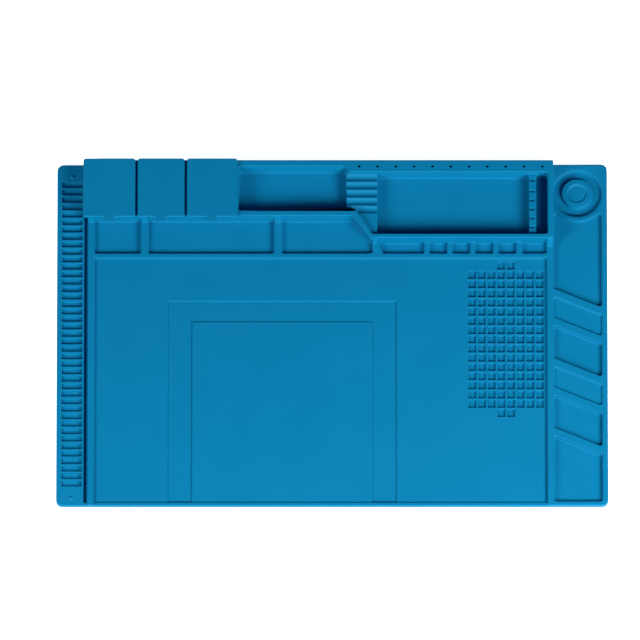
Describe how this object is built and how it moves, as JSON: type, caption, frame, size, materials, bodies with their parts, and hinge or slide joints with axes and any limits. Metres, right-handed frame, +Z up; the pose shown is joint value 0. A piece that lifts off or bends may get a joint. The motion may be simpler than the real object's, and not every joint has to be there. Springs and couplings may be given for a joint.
{
  "type": "silicone repair mat",
  "caption": "Rectangular silicone insulation mat with a work area, screw pits, trays and a tall rear deck whose boxes have three flip lids.",
  "frame": {"origin": "centre of the plan, on the underside that lies on the bench", "axes": "+X along the long side to the right, +Y towards the rear deck, +Z up"},
  "size_m": [0.45, 0.3, 0.019],
  "materials": {
    "silicone": "matt moulded blue silicone rubber"
  },
  "bodies": {
    "mat": {"mat": "silicone"},
    "lid_left": {"lid_left": "silicone"},
    "lid_middle": {"lid_middle": "silicone"},
    "lid_right": {"lid_right": "silicone"}
  },
  "joints": [
    {"name": "lid_left_hinge", "type": "hinge", "parent": "mat", "child": "lid_left", "pos_m": [-0.1823, 0.15, 0.01565], "axis": [-1, 0, 0], "range_deg": [0, 170]},
    {"name": "lid_middle_hinge", "type": "hinge", "parent": "mat", "child": "lid_middle", "pos_m": [-0.14, 0.15, 0.01565], "axis": [-1, 0, 0], "range_deg": [0, 170]},
    {"name": "lid_right_hinge", "type": "hinge", "parent": "mat", "child": "lid_right", "pos_m": [-0.0982, 0.15, 0.01565], "axis": [-1, 0, 0], "range_deg": [0, 170]}
  ]
}
